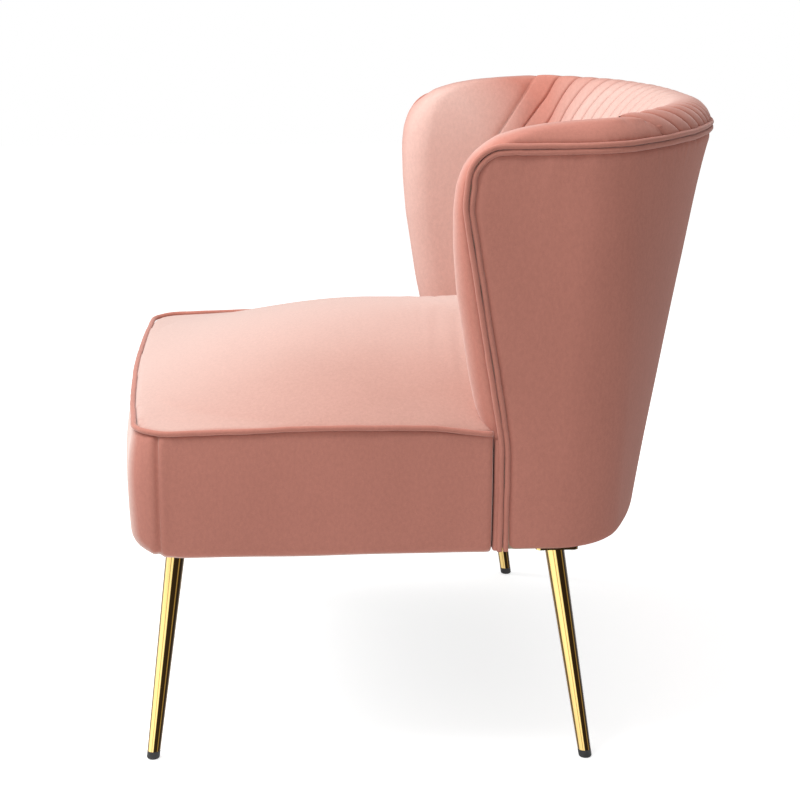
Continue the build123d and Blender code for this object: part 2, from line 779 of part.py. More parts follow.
# ---- bolts between the seat and the back ---------------------------------------------------------
washer = 1.6
head_depth = 5
nut_depth = 6.5
plank_rear = plank_front + plywood
bolt_length = plank_rear + nut_depth + 2 + 2 * washer - tongue_wall


def along_bolts(start, length, outer, inner=0, sides=0):
    """Round or hexagonal pieces on the bolts' axes, from one distance back to another."""
    with BuildPart(mode=Mode.PRIVATE) as pieces:
        with BuildSketch(Plane.XZ.offset(-start)):
            with Locations(*bolt_spots):
                if sides:
                    RegularPolygon(outer, sides)
                else:
                    Circle(outer)
                if inner:
                    Circle(inner, mode=Mode.SUBTRACT)
        extrude(amount=-length)
    return pieces.part


with BuildPart() as unit_bolts:
    add(along_bolts(tongue_wall - washer - head_depth, head_depth, 1.7 * bolt_radius, sides=6))
    add(along_bolts(tongue_wall - washer, bolt_length, bolt_radius))
save(unit_bolts, "unit_bolts")

with BuildPart() as unit_washers:
    add(along_bolts(tongue_wall - washer, washer, 2.1 * bolt_radius, bolt_radius + gap))
    add(along_bolts(plank_rear, washer, 2.1 * bolt_radius, bolt_radius + gap))
save(unit_washers, "unit_washers")

with BuildPart() as unit_nuts:
    add(along_bolts(plank_rear + washer, nut_depth, 1.7 * bolt_radius, bolt_radius + gap, sides=6))
save(unit_nuts, "unit_nuts")
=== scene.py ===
"""Looks of a velvet slipper chair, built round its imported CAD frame.

Metres in the frame's axes: +Z up, -Y the front, +X the sitter's left.
"""
import json
from math import atan2, cos, pi, radians, sin, sqrt, tan

import bmesh
import bpy
import numpy as np
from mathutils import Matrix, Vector, noise


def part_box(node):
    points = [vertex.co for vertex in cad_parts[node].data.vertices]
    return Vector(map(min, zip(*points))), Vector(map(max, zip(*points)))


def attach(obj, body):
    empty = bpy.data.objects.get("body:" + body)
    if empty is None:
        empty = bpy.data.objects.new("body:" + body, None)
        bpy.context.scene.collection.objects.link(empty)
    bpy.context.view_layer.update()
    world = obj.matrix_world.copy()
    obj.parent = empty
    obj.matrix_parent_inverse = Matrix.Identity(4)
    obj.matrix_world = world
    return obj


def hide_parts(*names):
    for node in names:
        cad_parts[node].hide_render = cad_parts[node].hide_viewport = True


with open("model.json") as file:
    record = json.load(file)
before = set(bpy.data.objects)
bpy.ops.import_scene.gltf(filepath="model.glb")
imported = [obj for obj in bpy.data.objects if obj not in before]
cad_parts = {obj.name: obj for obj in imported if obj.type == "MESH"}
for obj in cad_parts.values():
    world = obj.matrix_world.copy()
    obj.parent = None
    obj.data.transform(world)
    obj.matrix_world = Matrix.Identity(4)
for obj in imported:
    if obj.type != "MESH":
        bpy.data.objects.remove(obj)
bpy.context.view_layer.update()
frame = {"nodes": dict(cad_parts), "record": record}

# ---- sizes, from the frame -----------------------------------------------------------------------
seat_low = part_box("seat_boxing")[0]
back_low, back_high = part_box("back_outer_cover")
welt_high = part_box("back_outer_welt")[1]
half_width = back_high.x
half_depth = -seat_low.y
seat_bottom = seat_low.z
back_bottom = back_low.z

cord_radius = 0.00325       # piping cord in its sleeve
cord_pitch = 0.0068         # from the middle of one cord to the next
cord_inset = 0.001          # middle of a cord inside the face that it edges
cord_step = 0.003           # between the rings of a cord
cord_sides = 14             # faces round a cord
cover_edge = cord_pitch + cord_radius + 0.0003

# ---- seat box
seat_edge = 0.415           # height of the piping round the top
seat_corner = 0.048         # plan radius of the front corners
front_bow = 0.010           # how far the middle of the front stands out
belly_height = 0.345        # where the front stands out most
belly_above = 0.0095        # how far the front falls back at the piping
belly_below = 0.0045        # and at the bottom
front_round = 0.026         # bottom edge, at the front
side_round = 0.012          # bottom edge, at the sides
side_belly = 0.0035         # how far the sides stand out in the middle of their height
box_rear = 0.061            # rear face of the wide part of the seat
box_seam = -0.3235          # upright seams beside the front corners
flange = 0.032              # cover turned under the frame

# ---- seat top
crown_rise = 0.077          # rise of the top over the piping
crown_front = 0.002         # rise at the very front
crown_speed = 1.8           # the full rise is reached at 1 / 1.8 of the depth
crown_overlap = 0.004       # the crown starts this far in front of the seat
crown_end = 0.020           # and ends this far inside the back
tongue_corner = 0.060       # plan of the tongue between the wings
tongue_turn = 0.110         # its sides run straight back to here
tongue_gap = 0.004          # how far the tongue is squeezed into the back
cushion_middle = (0.0, -0.05)       # its rows are drawn round this point
cushion_slack = 0.006       # room that the cloth fills when it is blown up

# ---- barrel back, outside
welt_height = welt_high.z - cord_radius
crest_height = 0.763        # top of the padded crest
crest_round = 0.033         # from the outer face to the top of the crest
top_reach = 0.36825         # rear of the middle of the outer cord
side_turn = 0.130           # the sides run straight back to here at the bottom
top_turn = 0.030            # and this much further at the top
barrel_corner = 0.100       # plan radius where a side turns into the rear
base_reach = 0.282          # rear face at the bottom
rear_lean = 0.077           # how much further back it is at the top
rear_lift = 0.003           # how much higher the top is round the rear corners
lift_start = 0.62           # from this height up
lift_middle = 0.11          # the corners are seen round this point of the middle line

# ---- barrel back, inside
inner_half = 0.263          # inner face of a wing, from the middle
inner_bend = 0.035          # plan radius of the inner corner
inner_depth = 0.072         # from where the side ends to the rear
inner_base = 0.195          # inner face at the height below
inner_base_height = 0.430
inner_lean = 0.25           # run per rise of the inner face
roll_height = 0.660         # the inner face starts to roll over here
roll_depth = 0.0545         # how far it has rolled out at the crest, at the rear
roll_side = 0.032           # and at the sides

# ---- edge of the outer back, followed by two cords, seen from the side
edge_foot = 0.077
edge_knee = 0.395
edge_tip = 0.030
edge_tip_height = 0.668
edge_top = 0.036
knee_radius = 0.220
tip_radius = 0.060
top_radius = 0.034

# ---- wing front, as (height, distance of the front from the middle)
wrap = 0.032                # plan depth of the rounded wing front
wing_front = [
    (0.380, 0.066), (0.400, 0.060), (0.430, 0.044), (0.470, 0.035), (0.520, 0.027), (0.570, 0.019),
    (0.620, 0.015), (0.660, 0.015), (0.690, 0.018), (0.712, 0.025), (0.730, 0.038), (0.744, 0.058),
    (0.7525, 0.085), (0.758, 0.118), (0.7610, 0.165), (0.7625, 0.200),
]
wing_shelf = welt_height + cord_pitch - 0.0015      # the padding stands on the cords from here up
seam_overlap = 0.030        # how far a wing runs on behind the first seam

# ---- channels of the inner cover
channels = 24
channel_steps = 14          # faces across one channel
channel_puff = 0.0017       # how far its middle stands out
channel_foot = 0.395        # lower end of the channels, behind the seat


# ---- curves --------------------------------------------------------------------------------------
def smooth(value):
    """Smooth step from 0 to 1."""
    value = np.clip(value, 0, 1)
    return value * value * (3 - 2 * value)


def arc_through(start, middle, end, count):
    """Points of the circular arc through three points of a plane."""
    a, b, c = (np.array(p, float) for p in (start, middle, end))
    rows = np.array([b - a, c - a])
    centre = a + np.linalg.solve(rows, 0.5 * np.array([(b - a) @ (b - a), (c - a) @ (c - a)]))
    radius = np.linalg.norm(a - centre)
    angles = [atan2(*(p - centre)[::-1]) for p in (a, b, c)]
    turn = (angles[2] - angles[0]) % (2 * pi)
    if (angles[1] - angles[0]) % (2 * pi) > turn:
        turn -= 2 * pi
    steps = angles[0] + turn * np.linspace(0, 1, count)
    return np.column_stack([centre[0] + radius * np.cos(steps), centre[1] + radius * np.sin(steps)])


def resample(points, count=None, step=None):
    """The same line with evenly spaced points."""
    points = np.asarray(points, float)
    lengths = np.r_[0, np.cumsum(np.linalg.norm(np.diff(points, axis=0), axis=1))]
    count = count or int(lengths[-1] / step) + 1
    places = np.linspace(0, lengths[-1], count)
    return np.column_stack([np.interp(places, lengths, points[:, k]) for k in range(points.shape[1])])


def filleted(points, radii, count=14):
    """Straight runs joined by arcs, as dense points."""
    points = [np.array(p, float) for p in points]
    line = [points[0]]
    for before, corner, after, radius in zip(points, points[1:], points[2:], radii):
        one = (before - corner) / np.linalg.norm(before - corner)
        two = (after - corner) / np.linalg.norm(after - corner)
        half = np.arccos(np.clip(one @ two, -1, 1)) / 2
        cut = radius / tan(half)
        centre = corner + (one + two) / np.linalg.norm(one + two) * radius / sin(half)
        mid = centre + (corner - centre) / np.linalg.norm(corner - centre) * radius
        line += list(arc_through(corner + one * cut, mid, corner + two * cut, count))
    return np.array(line + [points[-1]])


class Arch:
    """Half of a U in plan: a straight side up to turn, a corner arc, and the rear arc to the middle."""

    def __init__(self, half, corner, turn, reach):
        depth = reach - turn
        self.half, self.corner, self.turn = half, corner, turn
        self.rear_radius = ((half - corner) ** 2 + depth**2 - corner**2) / (2 * (depth - corner))
        self.rear_centre = reach - self.rear_radius
        self.bend = atan2(turn - self.rear_centre, half - corner)
        self.length = corner * self.bend + self.rear_radius * (pi / 2 - self.bend)

    def point(self, along, inset=0.0):
        """Point at a distance past the end of the straight side, moved inwards by inset."""
        if along < 0:
            return self.half - inset, self.turn + along
        if along < self.corner * self.bend:
            angle = along / self.corner
            radius = self.corner - inset
            return self.half - self.corner + radius * cos(angle), self.turn + radius * sin(angle)
        angle = self.bend + (along - self.corner * self.bend) / self.rear_radius
        radius = self.rear_radius - inset
        return radius * cos(angle), self.rear_centre + radius * sin(angle)


# ---- shape of the back ---------------------------------------------------------------------------
def share_up(height):
    """Share of the way up from the bottom of the back to the outer cord."""
    return min(max((height - back_bottom) / (welt_height - back_bottom), 0), 1)


def turn_at(height):
    """How far back the outer sides run straight at a height."""
    return side_turn + top_turn * share_up(height)


def reach_at(height):
    """How far back the outer rear face is at a height."""
    rise = share_up(height)
    return base_reach + rear_lean * rise + (top_reach - base_reach - rear_lean) * rise**4


def roll(height, start):
    """Share of a rounded crest's depth that is used up at a height."""
    rise = min(max(height - start, 0) / (crest_height - start), 1)
    return 1 - sqrt(1 - rise**2)


def outer_arch(height):
    """Outside of the back at a height, rolled in over the top cord."""
    over = crest_round * roll(height, welt_height)
    reach = min(reach_at(height), top_reach) - over
    return Arch(half_width - over, barrel_corner - over, turn_at(height), reach)


def inner_arch(height):
    """Inside of the back at a height."""
    rolled = roll(height, roll_height)
    outer = outer_arch(height)
    half = inner_half + roll_side * rolled
    reach = inner_base + inner_lean * max(height - inner_base_height, 0)
    corner = inner_bend + (outer.corner - outer.half + half - inner_bend) * rolled
    turn = reach - inner_depth
    turn += (outer.turn - turn) * rolled
    return Arch(half, corner, turn, reach + roll_depth * rolled)


def edge_line(shift):
    """Edge of the outer back seen from the side, as (back, height), moved forward and up by shift."""
    lean = atan2(edge_foot - edge_tip, edge_tip_height - edge_knee)
    points = [
        (edge_foot - shift, back_bottom),
        (edge_foot - shift, edge_knee - shift * sin(lean / 2)),
        (edge_tip - shift, edge_tip_height),
        (edge_top - shift, welt_height + shift),
        (turn_at(welt_height), welt_height + shift),
    ]
    return filleted(points, (knee_radius - shift, tip_radius + shift, top_radius + shift))


def edge_at(height, shift):
    """Where that edge is at a height, from the middle of the chair."""
    line = edge_line(shift)
    return float(np.interp(height, line[:, 1], line[:, 0]))


def lifted(points):
    """The same points of the back, a little higher round the rear corners of its top."""
    x, y, z = np.moveaxis(points, -1, 0)
    angle = np.clip(np.arctan2(y - lift_middle, np.abs(x)), 0, pi / 2)
    share = smooth((z - lift_start) / (welt_height - lift_start))
    lift = rear_lift * np.sin(2 * angle) ** 1.3 * share
    return points + lift[..., None] * (0, 0, 1)


def both_halves(half):
    """A line from the left side to the middle, carried on to the right side as its mirror image."""
    flip = (-1, *[1] * (half.shape[1] - 1))
    return np.r_[half, (half * flip)[::-1][1:]]


def at_level(plan, height):
    """Points of a plan at one height, or at a height each."""
    return np.column_stack([plan, np.broadcast_to(height, len(plan))])


# ---- mesh helpers --------------------------------------------------------------------------------
def link(name, mesh):
    """New smooth-shaded object in the scene."""
    piece = bpy.data.objects.new(name, mesh)
    bpy.context.scene.collection.objects.link(piece)
    mesh.polygons.foreach_set("use_smooth", [True] * len(mesh.polygons))
    return piece


def grid_piece(name, rows, closed=False):
    """Sheet through rows of points, with a face between each four neighbours."""
    rows = np.asarray(rows, float)
    count, width = rows.shape[:2]
    across = width if closed else width - 1
    faces = [
        (r * width + c, r * width + (c + 1) % width, (r + 1) * width + (c + 1) % width, (r + 1) * width + c)
        for r in range(count - 1)
        for c in range(across)
    ]
    mesh = bpy.data.meshes.new(name)
    mesh.from_pydata(rows.reshape(-1, 3).tolist(), [], faces)
    return link(name, mesh)


def grid_normals(rows):
    """Unit normal of a sheet at each of its points."""
    normal = np.cross(np.gradient(rows, axis=1), np.gradient(rows, axis=0))
    return normal / np.maximum(np.linalg.norm(normal, axis=2, keepdims=True), 1e-12)


def pushed(rows, normals, depth):
    """The same sheet with each point moved along its normal."""
    return rows + normals * depth[:, :, None]


def ripple(points, scale, seed=0.0):
    """Smooth noise from -1 to 1 at each point."""
    flat = np.asarray(points, float).reshape(-1, 3) * scale + seed
    values = np.array([noise.noise(Vector(p)) for p in flat])
    return values.reshape(np.asarray(points).shape[:-1])


def apply_modifier(piece, kind, **settings):
    """Puts the result of a modifier into the piece's mesh."""
    modifier = piece.modifiers.new(kind.title(), kind)
    for name, value in settings.items():
        setattr(modifier, name, value)
    graph = bpy.context.evaluated_depsgraph_get()
    mesh = bpy.data.meshes.new_from_object(piece.evaluated_get(graph))
    piece.modifiers.clear()
    piece.data = mesh


def loops_solid(name, loops):
    """Closed solid through equally long closed loops, capped at both ends."""
    loops = np.asarray(loops, float)
    piece = grid_piece(name, loops, closed=True)
    shape = bmesh.new()
    shape.from_mesh(piece.data)
    shape.verts.ensure_lookup_table()
    width = loops.shape[1]
    shape.faces.new([shape.verts[i] for i in range(width)][::-1])
    shape.faces.new([shape.verts[len(shape.verts) - width + i] for i in range(width)])
    bmesh.ops.recalc_face_normals(shape, faces=shape.faces)
    shape.to_mesh(piece.data)
    shape.free()
    return piece


def remesh(piece, voxel):
    """Gives a closed solid an even mesh, with the voxels' steps smoothed away."""
    apply_modifier(piece, "REMESH", mode="VOXEL", voxel_size=voxel, use_smooth_shade=True)
    apply_modifier(piece, "SMOOTH", factor=0.5, iterations=3)


def inflate(piece, held, pressure, cap, frames=20):
    """Blows a stuffed piece up with Cloth, except where it is held, and limits how far a point moves."""
    group = piece.vertex_groups.new(name="held")
    start = np.array([v.co for v in piece.data.vertices])
    weights = held(start)
    for index, weight in enumerate(weights):
        if weight > 0.01:
            group.add([index], float(weight), "REPLACE")
    modifier = piece.modifiers.new("Cloth", "CLOTH")
    settings = modifier.settings
    settings.quality = 5
    settings.mass = 0.3
    settings.use_pressure = True
    settings.uniform_pressure_force = pressure
    settings.vertex_group_mass = "held"
    settings.effector_weights.gravity = 0
    modifier.point_cache.frame_end = frames
    for step in range(1, frames + 1):
        bpy.context.scene.frame_set(step)
    graph = bpy.context.evaluated_depsgraph_get()
    mesh = bpy.data.meshes.new_from_object(piece.evaluated_get(graph))
    moved = np.array([v.co for v in mesh.vertices]) - start
    length = np.linalg.norm(moved, axis=1, keepdims=True)
    moved *= np.minimum(1, cap / np.maximum(length, 1e-9))
    mesh.vertices.foreach_set("co", (start + moved).ravel())
    piece.modifiers.clear()
    piece.vertex_groups.clear()
    piece.data = mesh
    bpy.context.scene.frame_set(1)


def cord_piece(name, path, seed):
    """Piping along a path: a covered cord, a little uneven, with closed ends."""
    path = resample(path, step=cord_step)
    wander = np.column_stack([ripple(path, 30, seed + 9 * k) for k in range(3)]) * 0.0006
    path = path + wander
    ahead = np.gradient(path, axis=0)
    ahead /= np.linalg.norm(ahead, axis=1, keepdims=True)
    side = np.cross(ahead[0], (0, 0, 1) if abs(ahead[0][2]) < 0.9 else (1, 0, 0))
    swell = 1 + 0.05 * ripple(path, 60, seed + 40)
    angles = np.linspace(0, 2 * pi, cord_sides, endpoint=False)
    rows = []
    for point, forward, girth in zip(path, ahead, swell):
        side = side - forward * (side @ forward)
        side /= np.linalg.norm(side)
        up = np.cross(forward, side)
        ring = np.outer(np.cos(angles), side) + np.outer(np.sin(angles), up)
        rows.append(point + cord_radius * girth * ring)
    first, last = (0.98 * path[end] + 0.02 * rows[end] for end in (0, -1))
    return grid_piece(name, [first, *rows, last], closed=True)


# ---- materials -----------------------------------------------------------------------------------
class Shader:
    """A node material with one Principled shader, and short calls that add nodes to it."""

    def __init__(self, name, **values):
        self.material = bpy.data.materials.new(name)
        self.material.use_nodes = True
        self.nodes = self.material.node_tree.nodes
        self.links = self.material.node_tree.links
        self.main = self.nodes["Principled BSDF"]
        for socket, value in values.items():
            self.main.inputs[socket.replace("_", " ").title().replace("Ior", "IOR")].default_value = value
        self.place = self.node("ShaderNodeTexCoord").outputs["Object"]

    def node(self, kind, inputs=None, **settings):
        """New node, with each input either linked to a socket or set to a value."""
        made = self.nodes.new(kind)
        for name, value in settings.items():
            setattr(made, name, value)
        for socket, value in (inputs or {}).items():
            if isinstance(value, bpy.types.NodeSocket):
                self.links.new(value, made.inputs[socket])
            else:
                made.inputs[socket].default_value = value
        return made

    def spread(self, value, **ends):
        """A value brought from one range to another."""
        inputs = {name.replace("_", " ").title(): end for name, end in ends.items()}
        return self.node("ShaderNodeMapRange", {"Value": value, **inputs}).outputs[0]

    def noise(self, scale, detail=3.0, stretch=(1, 1, 1)):
        place = self.node("ShaderNodeMapping", {"Vector": self.place, "Scale": stretch}).outputs[0]
        made = self.node("ShaderNodeTexNoise", {"Vector": place, "Scale": scale, "Detail": detail})
        return made.outputs["Fac"]

    def ramp(self, value, low, high, start=0.3, end=0.7):
        made = self.node("ShaderNodeValToRGB", {"Fac": value})
        made.color_ramp.elements[0].position = start
        made.color_ramp.elements[1].position = end
        made.color_ramp.elements[0].color = (*low, 1)
        made.color_ramp.elements[1].color = (*high, 1)
        return made.outputs["Color"]

    def mix(self, share, low, high, blend="MIX"):
        inputs = {0: share, 6: low, 7: high}
        return self.node("ShaderNodeMix", inputs, data_type="RGBA", blend_type=blend).outputs[2]

    def colour(self, value):
        self.links.new(value, self.main.inputs["Base Color"])

    def roughness(self, value, low, high):
        self.links.new(self.spread(value, to_min=low, to_max=high), self.main.inputs["Roughness"])

    def painted_shade_outwards(self):
        """Share from 0 inside the back to 1 on its outside, by the distance from the chair's middle; it
        masks painted shade, turning the paler, lit inside colour to the deeper outside one.
        """
        inputs = {"Vector": self.place, "Location": (0, -0.005, 0), "Scale": (1, 0.9, 0)}
        plan = self.node("ShaderNodeMapping", inputs).outputs[0]
        far = self.node("ShaderNodeVectorMath", {0: plan}, operation="LENGTH").outputs["Value"]
        return self.spread(far, from_min=0.283, from_max=0.322)

    def bump(self, heights, strength, distance):
        """Relief from a list of (height, amount)."""
        normal = None
        for height, amount in heights:
            inputs = {"Height": height, "Strength": strength * amount, "Distance": distance}
            if normal is not None:
                inputs["Normal"] = normal
            normal = self.node("ShaderNodeBump", inputs).outputs[0]
        self.links.new(normal, self.main.inputs["Normal"])


def velvet(name, low, high, sheen, edge=None, outside=None):
    """Short dense pile with brushed patches, fine speckle and sheen.

    edge is the paler colour painted in at grazing angles as painted sheen, and outside the deeper colour
    painted towards the outside of the back as painted shade.
    """
    shader = Shader(
        name,
        roughness=0.85,
        specular_ior_level=0.15,
        sheen_weight=sheen,
        sheen_roughness=0.42,
        sheen_tint=(1.0, 0.84, 0.80, 1),
    )
    brushed = shader.noise(6, 4, (1, 1, 0.5))
    pile = shader.noise(260, 3, (1, 1, 0.7))
    speckle = shader.noise(1400, 2)
    tone = shader.ramp(brushed, low, high, 0.25, 0.75)
    # Painted shade: towards the outside of the back the colour turns from the paler, lit tone to the deeper
    # outside colour.
    if outside:
        tone = shader.mix(shader.painted_shade_outwards(), tone, (*outside, 1))
    # Painted sheen: at grazing angles the colour turns to the paler edge colour.
    if edge:
        facing = shader.node("ShaderNodeLayerWeight", {"Blend": 0.5}).outputs["Facing"]
        tone = shader.mix(shader.spread(facing, from_min=0.45, from_max=0.95), tone, (*edge, 1))
    mottle = shader.ramp(pile, (0.90, 0.89, 0.89), (1.0, 1.0, 1.0), 0.3, 0.7)
    grain = shader.ramp(speckle, (0.88, 0.88, 0.88), (1.0, 1.0, 1.0), 0.35, 0.65)
    tone = shader.mix(0.8, tone, mottle, "MULTIPLY")
    shader.colour(shader.mix(0.8, tone, grain, "MULTIPLY"))
    shader.bump([(shader.noise(900, 3), 1.0), (pile, 0.5), (shader.noise(60, 3), 0.5)], 0.25, 0.0006)
    return shader.material


def gilt_painted_reflections(name):
    """Mirror-bright gold plate, with painted reflections: the dark stripes and bright lines that a polished
    round tube mirrors along its length are painted into its colour by the direction the surface faces.
    """
    shader = Shader(name, metallic=1.0, roughness=0.16)
    facing = shader.node("ShaderNodeTexCoord").outputs["Normal"]
    side = shader.node("ShaderNodeSeparateXYZ", {"Vector": facing}).outputs["Y"]
    waver = shader.spread(shader.noise(9, 2, (1, 1, 0.4)), to_min=-0.06, to_max=0.06)
    side = shader.node("ShaderNodeMath", {0: side, 1: waver}).outputs[0]
    painted_reflection_ramp = shader.node("ShaderNodeValToRGB", {"Fac": shader.spread(side, from_min=-1.0)})
    # Painted reflections: dark, deep and bright are the shades of the mirrored stripes, set round each leg
    # by the sideways facing of its surface.
    dark, deep, bright = (0.020, 0.011, 0.004), (0.30, 0.17, 0.035), (0.86, 0.62, 0.24)
    reflection_stops = [
        (0.0, deep), (0.07, dark), (0.12, bright), (0.30, bright), (0.34, deep), (0.37, bright),
        (0.44, bright), (0.48, dark), (0.72, dark), (0.76, deep), (0.80, dark), (0.93, dark), (1.0, deep),
    ]
    for place, shade in reflection_stops[1:-1]:
        painted_reflection_ramp.color_ramp.elements.new(place)
    for element, (place, shade) in zip(painted_reflection_ramp.color_ramp.elements, reflection_stops):
        element.position = place
        element.color = (*shade, 1)
    shader.colour(painted_reflection_ramp.outputs["Color"])
    shader.roughness(shader.noise(90, 3), 0.12, 0.22)
    shader.bump([(shader.noise(500, 2), 1.0)], 0.02, 0.0002)
    return shader.material


def metal(name, colour, rough):
    """Bare or plated metal, faintly brushed."""
    shader = Shader(name, metallic=1.0, roughness=rough)
    brushed = shader.noise(40, 3, (1, 1, 0.05))
    shader.colour(shader.ramp(brushed, tuple(c * 0.92 for c in colour), colour))
    shader.roughness(shader.noise(90, 3), rough * 0.8, rough * 1.3)
    shader.bump([(shader.noise(500, 2), 1.0)], 0.03, 0.0002)
    return shader.material


def woven(name, low, high, scale):
    """Coarse woven or felted cloth."""
    shader = Shader(name, roughness=0.95, specular_ior_level=0.1)
    inputs = {"Vector": shader.place, "Scale": scale}
    threads = shader.node("ShaderNodeTexVoronoi", inputs).outputs["Distance"]
    fine = shader.ramp(threads, low, high, 0.1, 0.7)
    shader.colour(shader.mix(0.6, fine, shader.ramp(shader.noise(15), low, high)))
    shader.bump([(threads, 1.0), (shader.noise(300), 0.4)], 0.4, 0.0006)
    return shader.material


def timber(name, low, high, stretch):
    """Planed wood or board with grain along one axis."""
    shader = Shader(name, roughness=0.7)
    grain = shader.noise(14, 6, stretch)
    shader.colour(shader.ramp(grain, low, high, 0.35, 0.65))
    shader.roughness(shader.noise(60), 0.55, 0.8)
    shader.bump([(grain, 1.0)], 0.2, 0.0008)
    return shader.material


def moulded(name, low, high):
    """Moulded rubber or foam."""
    shader = Shader(name, roughness=0.6)
    shader.colour(shader.ramp(shader.noise(120), low, high))
    shader.roughness(shader.noise(200), 0.45, 0.7)
    shader.bump([(shader.noise(900), 1.0)], 0.2, 0.0004)
    return shader.material


rose_low, rose_high = (0.50, 0.202, 0.155), (0.58, 0.236, 0.182)
# Painted light: the pale and middle tones are lighter copies of the rose velvet, the pale one for the inside
# of the back and the wings, the middle one for the seat top, where the light falls.
lit_pale_low, lit_pale_high = (0.73, 0.480, 0.420), (0.79, 0.530, 0.465)
lit_middle_low, lit_middle_high = (0.55, 0.300, 0.247), (0.61, 0.335, 0.278)
# Painted sheen: the paler colour that the velvet is painted with at grazing angles.
painted_sheen_pale = (0.76, 0.560, 0.500)
finishes = {
    "velvet": velvet("rose_velvet", rose_low, rose_high, 0.2),
    "piping": velvet("rose_piping", rose_low, rose_high, 0.5),
    "gold_tube": gilt_painted_reflections("gold_tube"),
    "zinc_steel": metal("zinc_steel", (0.62, 0.62, 0.60), 0.30),
    "glide_rubber": moulded("black_rubber", (0.010, 0.010, 0.010), (0.028, 0.028, 0.028)),
    "foam": moulded("cut_foam", (0.72, 0.66, 0.48), (0.80, 0.74, 0.56)),
    "wadding": woven("wadding", (0.70, 0.70, 0.68), (0.82, 0.82, 0.80), 400),
    "webbing": woven("webbing", (0.10, 0.10, 0.10), (0.30, 0.28, 0.24), 700),
    "felt": woven("grey_felt", (0.18, 0.18, 0.19), (0.34, 0.34, 0.35), 500),
    "dust_cloth": woven("black_dust_cloth", (0.012, 0.012, 0.013), (0.035, 0.035, 0.037), 900),
    "cardboard": woven("grey_board", (0.36, 0.29, 0.20), (0.46, 0.38, 0.28), 250),
    "plywood": timber("plywood", (0.56, 0.40, 0.24), (0.72, 0.56, 0.37), (1, 0.15, 1)),
    "softwood": timber("softwood", (0.60, 0.42, 0.24), (0.76, 0.58, 0.37), (1, 0.12, 1)),
}
# Copies of the velvet with painted light: the seat's side with painted sheen at grazing angles; the seat top
# in the lighter middle tone with painted sheen; the inside of the back in the lighter pale tone, turning to
# painted shade towards its outside.
box_velvet_painted_sheen = velvet("rose_velvet_box_painted_sheen", rose_low, rose_high, 0.3, edge=painted_sheen_pale)
seat_velvet_painted_light = velvet("rose_velvet_seat_painted_light", lit_middle_low, lit_middle_high, 0.5, edge=painted_sheen_pale)
inner_velvet_painted_light = velvet("rose_velvet_inner_painted_light", lit_pale_low, lit_pale_high, 0.4, outside=rose_high)


def dress_frame():
    """Gives each CAD node the procedural material of its slot."""
    slots = {part["node"]: part["material_slot"] for part in frame["record"]["subparts"]}
    for name, piece in frame["nodes"].items():
        piece.data.materials.clear()
        piece.data.materials.append(finishes[slots[name]])


def soft_piece(piece, slot, *nodes, fill=None, finish=None):
    """Finishes a velvet or piping piece: its material (the given finish, or that of its slot), body and the
    CAD nodes that it stands for, which are hidden.
    """
    piece.data.materials.clear()
    piece.data.materials.append(finish or finishes[slot])
    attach(piece, "root")
    if nodes:
        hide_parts(*nodes)


# ---- seat ----------------------------------------------------------------------------------------
def rounding(height, radius):
    """How far a face is drawn in at a height over a rounded bottom edge."""
    if height >= radius:
        return 0.0
    return radius - sqrt(max(radius**2 - (radius - height) ** 2, 0))


def seat_front_at(height):
    """How far the front stands in front of the middle of the chair."""
    drop = belly_above if height > belly_height else belly_below
    span = seat_edge - belly_height if height > belly_height else belly_height - seat_bottom
    bulge = drop * ((height - belly_height) / span) ** 2
    return half_depth - bulge - rounding(height - seat_bottom, front_round)


def box_outline(half, front, corner):
    """Plan of the seat box's side, corner, bowed front, corner and side, as dense points."""
    side_end = (half, -front + front_bow + corner)
    front_end = (half - corner, -front + front_bow)
    bend = (half - corner * (1 - sqrt(0.5)), -front + front_bow + corner * (1 - sqrt(0.5)))
    turn_in = [
        (half - 0.030, box_rear),
        (half - 0.006, box_rear),
        (half - 0.0018, box_rear - 0.0018),
        (half, box_rear - 0.006),
    ]
    first = arc_through(side_end, bend, front_end, 16)
    bow = arc_through(front_end, (0, -front), (-front_end[0], front_end[1]), 40)
    mirrored = [(-x, y) for x, y in reversed([*turn_in, *first])]
    return np.array([*turn_in, *first, *bow[1:-1], *mirrored])


def crown(x, y):
    """Height of the crowned top of the seat over its piping."""
    length = inner_base + crown_end + half_depth + crown_overlap
    share = np.clip((y + half_depth + crown_overlap) / length, 0, 1)
    rise = crown_front + crown_rise * np.sin(np.minimum(share * crown_speed, 1) * pi / 2)
    across = np.clip(np.abs(x) / (half_width + 0.002), 0, 1)
    return rise * (1 - across**2.2)


def side_wave(y):
    """How the top edge of the seat rises and falls along the sides. The front stays level."""
    wave = 0.004 * np.exp(-(((y + 0.12) / 0.12) ** 2)) - 0.007 * smooth((y + 0.02) / 0.09)
    return wave * smooth((y + 0.33) / 0.05)


def boxing_levels():
    """(inset, height) of the rows of the seat's side, from the turned-under flange to the piping."""
    bottom = [0.0, 0.0004, 0.0016, 0.0036, 0.0065, 0.010, 0.0145, 0.020, 0.026]
    heights = [seat_bottom + h for h in bottom]
    heights += list(np.linspace(seat_bottom + 0.030, seat_edge - 0.004, 34))
    return [(flange, seat_bottom), (0.020, seat_bottom), *((0, z) for z in heights), (0.004, seat_edge)]


